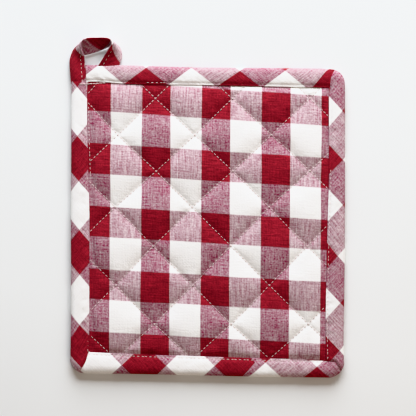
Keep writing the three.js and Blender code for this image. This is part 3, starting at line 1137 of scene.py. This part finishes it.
@dataclass
class Binding:
    """One strip of folded tape round all four sides, over the panel's edge."""

    thickness: float = 1.0
    width: float = 12.5
    spacing: float = 1.15
    corner_sections: int = 22
    stations: int = 44
    face_stations: int = 24
    cap: int = 4
    arc_share: float = 0.4
    pucker: float = 0.3
    unevenness: float = 0.22
    groove: float = 0.45
    stitch_insets: Row = (0.9, 0.8, 0.9, 0.4)
    slipped: Row = (24.0, 75.0)
    slip_inset: float = -2.1
    sunk_boxes: Table = (
        (-88.0, -46.0, 85.0, 100.0), (-29.0, 100.0, 85.0, 100.0), (85.0, 100.0, 27.0, 100.0),
        (-100.0, -80.0, -105.0, 21.0), (-100.0, -80.0, 78.0, 100.0),
    )
    sunk: float = 0.32
    stitch_pitch: float = 3.0
    stitch_lift: float = 0.17
    back_height: float = 0.12
    back_inset: float = 1.2
    face_height: float = 4.2
    tack: Table = (
        (-93.4, 91.0), (-91.0, 91.1), (-88.6, 91.2), (-86.2, 91.4), (-83.8, 91.5), (-81.4, 91.7),
        (-79.0, 91.9), (-76.6, 92.0),
    )
    tack_lift: float = 0.25
    tack_thread: Thread = field(default_factory=lambda: Thread(length=2.5, radius=0.3, dive=0.3))
    cut: Row = (0.038, 0.83)
    thread: Thread = field(default_factory=lambda: Thread(length=2.0, radius=0.2))
    section: Table = (
        (1.0, 4.25), (0.9, 4.62), (0.75, 5.1), (0.58, 5.38), (0.42, 5.42), (0.27, 5.2),
        (0.15, 4.65), (0.07, 3.85), (0.045, 2.9), (0.06, 1.95), (0.12, 1.05), (0.2, 0.62),
        (0.35, 0.52), (0.65, 0.5), (1.0, 0.5),
    )

    def edges(self) -> tuple[Array, Array, Array, Array, Array]:
        """Folded and sewn edge points, section by section, clockwise from the top left.

        A side's sections run straight; a corner's fan out from the sewn corner, with both
        edges on arcs.

        Returns:
            Folded points (n, 2), sewn points (n, 2), which of the five folds each section
            is nearest (n,), the distance run along the sewn edge (n,), and how far in from
            the sewn edge the topstitching runs (n,).
        """
        outer, inner, fold, inset_by = [], [], [], []
        sides = ((TOP, 4, 0), (RIGHT, 0, 1), (BOTTOM, 1, 3), (LEFT, 3, 4))
        steps = np.arange(1, self.corner_sections + 1) / (self.corner_sections + 1)
        for index, (side, fold_before, fold_after) in enumerate(sides):
            run = float(np.hypot(*np.subtract(side.end.outer, side.start.outer)))
            count = int((run - side.start.radius - side.end.radius) / self.spacing)
            share = np.linspace(0, 1, count)
            first, last = side.start.radius / run, 1 - side.end.radius / run
            outer.append(side.edge(first + (last - first) * share, Edge.FOLDED))
            tip = SEWN_CORNER_RADIUS / (run - CORNER_ALLOWANCE)
            inner.append(side.edge(tip + (1 - 2 * tip) * share, Edge.SEWN))
            fold.append(np.where(share < 0.5, fold_before, fold_after))
            turn = math.pi / 2 * (1 - index)
            angle = turn - steps * math.pi / 2
            back = -np.sign([math.cos(turn - math.pi / 4), math.sin(turn - math.pi / 4)])
            around = np.stack([np.cos(angle), np.sin(angle)], 1) + back
            outer.append(side.end.outer + side.end.radius * around)
            inner.append(side.end.inner + SEWN_CORNER_RADIUS * around)
            fold.append(np.full(self.corner_sections, fold_after))
            this, following = self.stitch_insets[index], self.stitch_insets[(index + 1) % 4]
            inset_by.append(np.full(count, this))
            inset_by.append(np.linspace(this, following, self.corner_sections))
        outer, inner, fold, inset_by = map(np.concatenate, (outer, inner, fold, inset_by))
        low, high = self.slipped
        slipping = ease(inner[:, 1], low - 3, low) * ease(-inner[:, 1], -high - 3, -high)
        inset_by = inset_by + (self.slip_inset - inset_by) * slipping * (inner[:, 0] < 0)
        x, y = outer.T
        seam = (y < -100) & (x > SEAM_REACH[0]) & (x < SEAM_REACH[1])
        return outer, inner, np.where(seam, END_SEAM, fold), run_along(inner), inset_by

    def profile(self) -> tuple[Array, Array, Array]:
        """Outline of the folded tape across one section of nominal width.

        Returns:
            Distance in from the folded edge as a share (m,), height (m,), and how much of
            the way over the tape each point is, from the upper sewn edge to the lower one.
        """
        middle = smooth_curve(self.section, self.stations)
        outline, places = thick_line(middle * [self.width, 1.0], self.thickness, self.cap)
        return outline[:, 0] / self.width, outline[:, 1], places / (len(middle) - 1)

    def outside(self) -> Array:
        """Points of the profile's outer face, from the upper sewn edge to the lower."""
        return 2 * self.stations + self.cap - 1 - np.arange(self.stations)

    def points(self) -> Pair:
        """Every point of the ring, section by section, and the nearest fold of each section.

        The upper face is uneven, pressed in by the stitches, creased beside them and at
        each fold line, and lower where the loop starts.

        Returns:
            Points (n, m, 3) and the nearest fold (n,).
        """
        outer, inner, fold, run, inset_by = self.edges()
        share, height, over = self.profile()
        plan = outer[:, None] + (inner - outer)[:, None] * share[None, :, None]
        width = np.linalg.norm(inner - outer, axis=1)[:, None]
        z = np.broadcast_to(height, plan.shape[:2]).copy()
        upper = np.broadcast_to(over < 0.5, z.shape)
        from_sewn = (1 - share)[None, :] * width
        along = run[:, None]
        weight = np.clip(1 - np.abs(from_sewn / width - 0.5) * 1.2, 0, 1)
        uneven = two_ripples(along, from_sewn, 9.0, 4.0, 21)
        dimple = (1 - np.cos(2 * np.pi * along / self.stitch_pitch)) / 2
        pressed = bell(from_sewn - inset_by[:, None], 0.8) * (0.45 + 0.55 * dimple)
        creases = ripple(along, from_sewn / 3.5, 2.4, 23) * bell(from_sewn - 3.5, 2.5)
        z += np.where(upper, self.unevenness * weight * uneven - self.groove * pressed
                      + self.pucker * creases, 0)
        for number, line in enumerate(FOLDS):
            past = line.past(plan)
            here = (fold == number)[:, None] & upper
            lifted = line.step * np.exp(-np.abs(past) / 5) * np.where(past > 0, 1.0, -1.0)
            lifted *= ease(np.abs(past), 0, 0.8)
            z += np.where(here, lifted - line.depth * bell(past, 0.7), 0)
        x, y = plan[..., 0], plan[..., 1]
        under_loop = ease(y, 92.0, 98.0) * ease(-x, 89.5, 91.0) * ease(z, 2.5, 4.5)
        z = np.maximum(z - 0.7 * np.where(upper, under_loop, 0), 0.0)
        return np.concatenate([plan, z[..., None]], -1), fold

    def build(self) -> Piece:
        """The ring's mesh with the tape places on its face corners.

        Returns:
            The binding.
        """
        grid, fold = self.points()
        sections, count = grid.shape[:2]
        points = grid.reshape(-1, 3)
        quads = grid_quads(sections + 1, count, close_columns=True) % (sections * count)
        faces = outward(points, quads)
        piece = mesh_object("binding_tape", points, faces)
        self.mark_tape(piece, points, faces, np.repeat(fold, count))
        return piece

    def mark_tape(self, piece: Piece, points: Array, faces: Array, nearest: Array) -> None:
        """Writes where each face corner lies on the tape, before and after the nearest fold.

        The distance over the tape is its share of the profile's length; for a neighbouring
        run it is that of the upper face at the plan distance from that run's sewn edge.

        Args:
            piece: the ring.
            points: its points.
            faces: point numbers of each face.
            nearest: the nearest fold, one for each quad of the ring.
        """
        share, height, over = self.profile()
        outside = self.outside()
        line = np.stack([(1 - share[outside]) * self.width, height[outside]], 1)
        length = run_along(line)
        turn = int(np.argmin(share[outside]))
        depth = np.maximum.accumulate(line[:turn + 1, 0])
        corner = faces.reshape(-1)
        station = np.round(over * (self.stations - 1)).astype(int)[corner % len(over)]
        outer, inner, fold, run, inset_by = self.edges()
        width = np.linalg.norm(inner - outer, axis=1)[corner // len(over)]
        plan = points[corner, :2]
        below = length[station] - (length[turn] - depth[turn]) * (1 - self.arc_share)
        places = []
        for tape in RUNS:
            away = tape.from_sewn(plan)
            longer = (length[:turn + 1] - depth) * self.arc_share
            over_top = away + np.interp(away * self.width / width, depth, longer)
            places.append(tape.read(plan, np.where(station <= turn, over_top, below)))
        which, every = np.repeat(nearest, 4), np.arange(len(corner))
        stacked = np.stack(places)
        for name, run_number in ((TapeAttribute.BEFORE, which),
                                 (TapeAttribute.AFTER, (which + 1) % len(RUNS))):
            write_places(piece, name, stacked[run_number, every])
        past = np.stack([line.past(plan) for line in FOLDS])[which, every]
        mark = piece.data.attributes.new(TapeAttribute.FOLD.value, "FLOAT", "CORNER")
        mark.data.foreach_set("value", past.astype(np.float32))

    def stitches(self) -> Piece:
        """The topstitching round the sewn edge, on the face and on the back.

        On part of the left side the row has slipped off the tape and runs in the panel
        beside it. Inside sunk_boxes (low X, high X, low Y, high Y) it is drawn deeper.
        A short row at the top left corner holds the start of the loop.

        Returns:
            The thread.
        """
        grid, fold = self.points()
        outer, inner, fold, run, inset_by = self.edges()
        pitch = self.stitch_pitch
        marks = np.arange(0.5, run[-1] / pitch - 0.5) * pitch + pitch / 2
        index = np.interp(marks, run, np.arange(len(run))).round().astype(int)
        inward = unit(inner - outer)
        plan = (inner - inward * inset_by[:, None])[index]
        rows = grid[index][:, self.outside()[:self.face_stations]]
        nearest = np.argmin(np.linalg.norm(rows[..., :2] - plan[:, None], axis=2), axis=1)
        on_tape = rows[np.arange(len(index)), nearest, 2] + self.stitch_lift
        z = np.where(inset_by[index] > 0, on_tape, self.face_height)
        for low_x, high_x, low_y, high_y in self.sunk_boxes:
            here = (plan > (low_x, low_y)).all(1) & (plan < (high_x, high_y)).all(1)
            z = z - np.where(here, self.sunk, 0)
        heading = raised(unit(np.gradient(plan, axis=0)), 0)
        back_plan = (inner - inward * np.maximum(inset_by, self.back_inset)[:, None])[index]
        tack = np.array(self.tack)
        ring = grid.reshape(-1, 3)
        close = np.linalg.norm(ring[None, :, :2] - tack[:, None], axis=2) < 0.9
        height = np.where(close, ring[None, :, 2], self.face_height - 0.2).max(1)
        return mesh_object("binding_stitches", *join([
            self.thread.mesh(raised(plan, z), heading, UP),
            self.thread.mesh(raised(back_plan, self.back_height), heading, -UP),
            self.tack_thread.mesh(raised(tack, height + self.tack_lift), ALONG_X, UP),
        ]))


# Hanging loop


@dataclass
class HangingLoop:
    """The tape run on past the corner, folded double, stitched along its upper edge."""

    layer: float = 0.78
    gap: float = 0.12
    sections: int = 220
    pitch: float = 35.0
    skew: float = 1.35
    width: float = 12.7
    lowest: float = 0.35
    unevenness: float = 0.16
    cut: Row = (0.030, 0.076)
    stitch_share: float = 0.2
    stitch_pitch: float = 3.0
    far_middle: float = 41.0
    thread: Thread = field(default_factory=lambda: Thread(length=2.0, radius=0.2))
    upper: Table = (
        (-89.7, 91.5, 4.1), (-89.9, 95.5, 5.0), (-90.3, 100.0, 5.2), (-90.5, 105.0, 5.4),
        (-90.8, 108.6, 6.2), (-91.2, 112.0, 8.0), (-92.3, 116.2, 10.4), (-92.9, 119.8, 11.8),
        (-92.2, 122.8, 12.0), (-89.6, 124.6, 10.0), (-85.6, 125.4, 8.2), (-81.2, 125.5, 7.8),
        (-76.8, 125.4, 8.8), (-73.0, 124.6, 10.6), (-70.6, 122.7, 11.9), (-70.6, 120.0, 11.6),
        (-72.6, 116.8, 9.6), (-75.8, 112.4, 6.9), (-80.2, 105.7, 4.2), (-82.3, 102.6, 3.2),
    )
    lower: Table = (
        (-101.2, 91.5, 1.5), (-101.4, 95.5, 2.3), (-101.8, 100.0, 2.4), (-102.1, 105.0, 2.2),
        (-102.1, 108.6, 1.7), (-101.3, 112.0, 1.3), (-99.6, 115.8, 1.2), (-97.2, 118.2, 1.2),
        (-94.6, 117.2, 1.2), (-91.9, 113.2, 1.2), (-87.8, 113.4, 1.2), (-83.0, 114.8, 1.2),
        (-78.3, 116.5, 1.2), (-73.8, 118.5, 1.2), (-69.6, 120.0, 1.2), (-65.8, 119.0, 1.2),
        (-63.6, 115.6, 1.2), (-63.2, 110.8, 1.4), (-64.8, 105.7, 2.0), (-65.6, 102.6, 1.6),
    )
    bulges: Row = (2.0, 2.0, 1.9, 1.6, 1.0, 0.5, 0.4, 0.4, 0.4, 0.5,
                   0.5, 0.5, 0.5, 0.4, 0.4, 0.4, 0.5, 0.6, 0.7, 0.7)
    tape_run: Row = (0.0, 14.1, 21.0, 27.0, 31.0, 43.5, 51.5, 56.0, 70.0, 80.0)
    tape_u: Row = (-0.4, 0.0, 0.24, 0.42, 0.60, 0.90, 1.12, 1.48, 1.84, 2.1)
    tape_v: Row = (-0.2, -0.2, -0.27, -0.27, 0.137, 0.137, 0.1, 0.0, 0.0, 0.0)

    def frames(self) -> tuple[Array, Array, Array, Array, Array]:
        """The band section by section.

        Returns:
            Upper edge (n, 3), the step across to the lower edge (n, 3), the unit normal
            of the outer face (n, 3), the distance run along the middle (n,), and how far
            the middle bulges out (n,).
        """
        upper = smooth_curve(self.upper, self.sections)
        across = smooth_curve(self.lower, self.sections) - upper
        middle = upper + across / 2
        face = unit(np.cross(unit(np.gradient(middle, axis=0)), across))
        bulge = smooth_curve(np.array(self.bulges)[:, None], self.sections)[:, 0]
        return upper, across, face, run_along(middle), bulge

    def profile(self) -> tuple[Array, Array, Array]:
        """Outline of the doubled tape across the band.

        The line runs from the stitched edge over the outer layer, round the fold, and back
        over the inner layer, and is given the thickness of one layer.

        Returns:
            Share across from the stitched edge (m,), height off the middle (m,), and the
            place over the unfolded tape, 0 to 2 (m,).
        """
        offset = (self.layer + self.gap) / 2
        flat = np.linspace(0.3, self.width - 0.9, 18)
        turn = np.linspace(math.pi / 2, -math.pi / 2, 7)[1:-1]
        fold = np.stack([flat[-1] + np.cos(turn) * offset, np.sin(turn) * offset], 1)
        line = np.concatenate([raised(flat, offset), fold, raised(flat[::-1], -offset)])
        outline, places = thick_line(line, self.layer, 3)
        return outline[:, 0] / self.width, outline[:, 1], places / (len(line) - 1) * 2

    def surface(self) -> Pair:
        """Points of the band (n, m, 3) and u and v on the tape (n, m, 2).

        Returns:
            The points and the places.
        """
        upper, across, face, run, bulge = self.frames()
        share, height, over = self.profile()
        full = np.sin(np.pi * np.clip(share, 0, 1) ** self.skew)
        uneven = self.unevenness * ripple(run[:, None] + 50, share[None] * 9 + 50, 4.0, 31)
        lift = height[None] + (bulge[:, None] + uneven) * full[None]
        lift -= np.sign(height)[None] * 0.16 * bell(share - self.stitch_share, 0.07)[None]
        points = upper[:, None] + across[:, None] * share[None, :, None]
        points = points + face[:, None] * lift[..., None]
        points[..., 2] = np.maximum(points[..., 2], self.lowest)
        u, v = (np.interp(run, self.tape_run, row)[:, None] for row in (self.tape_u, self.tape_v))
        v = v + over[None] * self.width / self.pitch
        return points, np.stack([np.broadcast_to(u, v.shape), v], -1)

    def build(self) -> Piece:
        """The closed band with its tape places.

        Returns:
            The loop.
        """
        grid, tape = self.surface()
        rows, count = grid.shape[:2]
        points = grid.reshape(-1, 3)
        step = np.arange(count // 2 - 1)
        cap = np.stack([step, step + 1, count - 2 - step, count - 1 - step], 1)
        quads = grid_quads(rows, count, close_columns=True)
        faces = outward(points, np.concatenate([quads, cap[:, ::-1], cap + (rows - 1) * count]))
        piece = mesh_object("loop_tape", points, faces)
        write_places(piece, TapeAttribute.BEFORE, tape.reshape(-1, 2)[faces.ravel()])
        return piece

    def stitches(self) -> Piece:
        """The row of stitches along the band's upper edge, on both of its faces.

        Returns:
            The thread.
        """
        upper, across, face, run, bulge = self.frames()
        marks = np.arange(2.4, run[-1] - 1.2, self.stitch_pitch)
        middle = read_rows(upper + across * self.stitch_share, run, marks)
        heading = unit(np.gradient(middle, axis=0))
        out = read_rows(face, run, marks)
        out = unit(out - heading * np.einsum("ij,ij->i", out, heading)[:, None])
        bulged = np.interp(marks, run, bulge)[:, None]
        lift = math.sin(math.pi * self.stitch_share**self.skew) * bulged
        reach = self.layer + self.gap / 2
        sunk = 0.3 * ease(-np.abs(marks - self.far_middle), -11.0, -9.0)[:, None]
        return mesh_object("loop_stitches", *join([
            self.thread.mesh(middle + out * (lift + reach + 0.02), heading, out),
            self.thread.mesh(middle + out * (lift - reach + 0.15 + sunk), heading, -out),
        ]))


# Stage, light and camera


@dataclass(frozen=True)
class SoftLight:
    """A soft rectangular light that faces the cloth."""

    name: str
    place: Row
    size: Row
    power: float
    colour: Row

    def build(self) -> Piece:
        """The lamp, turned towards the middle of the cloth.

        Returns:
            The lamp.
        """
        data = bpy.data.lights.new(self.name, "AREA")
        data.shape = "RECTANGLE"
        data.size, data.size_y = self.size
        data.energy = self.power
        data.color = self.colour
        lamp = link(self.name, data)
        lamp.location = self.place
        lamp.rotation_euler = (-lamp.location).to_track_quat("-Z", "Y").to_euler()
        return lamp


@dataclass(frozen=True)
class Studio:
    """Pale table, soft daylight from beyond the loop, and the camera straight above."""

    camera_height: float = 1.5
    frame_width: float = 0.3074
    frame_level: float = 0.004
    frame_centre: Row = (0.0004, -0.0004)
    sensor: float = 36.0
    sky: Row = (1.0, 0.88, 0.78)
    sky_strength: float = 0.25
    half_table: float = 2000.0
    table_patch: float = 90.0
    lights: tuple[SoftLight, ...] = (
        SoftLight("window_light", (0.05, 1.02, 0.45), (1.1, 0.66), 39.0, (0.88, 0.94, 1.0)),
        SoftLight("room_light", (0.8, -0.8, 0.9), (0.8, 0.8), 5.0, (1.0, 0.82, 0.66)),
    )

    def table(self) -> Piece:
        """A wide pale table top just under the cloth.

        Returns:
            The table top.
        """
        square = np.array([[-1, -1], [1, -1], [1, 1], [-1, 1]]) * self.half_table
        top = mesh_object("table_top", raised(square, 0), np.array([[0, 1, 2, 3]]))
        graph = Graph("pale_table")
        x, y, z = graph.object_place()
        noise = graph.noise(x / self.table_patch, y / self.table_patch, 0.0, 2.0)
        cloudy = graph.clamp(noise * 0.5 + 0.5)
        colour = graph.mix(cloudy, (0.745, 0.745, 0.735), (0.765, 0.765, 0.755))
        top.data.materials.append(graph.surface({"Base Color": colour, "Roughness": 0.7}))
        return top

    def camera(self) -> Piece:
        """The camera above the cloth, its lens giving the photograph's width at the cloth.

        Returns:
            The camera.
        """
        data = bpy.data.cameras.new("camera_above")
        data.sensor_width = self.sensor
        data.lens = self.sensor * (self.camera_height - self.frame_level) / self.frame_width
        data.clip_start, data.clip_end = 0.05, 20.0
        camera = link("camera_above", data)
        camera.location = (*self.frame_centre, self.camera_height)
        bpy.context.scene.camera = camera
        return camera

    def build(self) -> None:
        """Table, camera, lamps and sky."""
        self.camera()
        self.table()
        for light in self.lights:
            light.build()
        world = bpy.data.worlds.new("soft_sky")
        world.use_nodes = True
        sky = world.node_tree.nodes["Background"]
        sky.inputs["Color"].default_value = (*self.sky, 1)
        sky.inputs["Strength"].default_value = self.sky_strength
        bpy.context.scene.world = world
        bpy.context.scene.view_settings.view_transform = "Khronos PBR Neutral"


def main() -> None:
    """Builds the studio and every piece of the pot holder."""
    logging.basicConfig(level=logging.INFO, format="%(message)s")
    Studio().build()
    thread = ThreadFinish().material()

    panel_maker = QuiltedPanel()
    panel = panel_maker.build()
    finish_piece(panel, PanelCheck().material())
    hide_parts("quilted_panel")
    finish_piece(panel_maker.stitches(), thread)

    binding_maker = Binding()
    binding = binding_maker.build()
    finish_piece(binding, tape_material("binding_gingham", 35.0, True))
    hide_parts("binding")
    finish_piece(binding_maker.stitches(), thread)

    loop_maker = HangingLoop()
    loop = loop_maker.build()
    finish_piece(loop, tape_material("loop_gingham", loop_maker.pitch, False))
    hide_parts("hanging_loop")
    finish_piece(loop_maker.stitches(), thread)


if __name__ == "__main__":
    main()
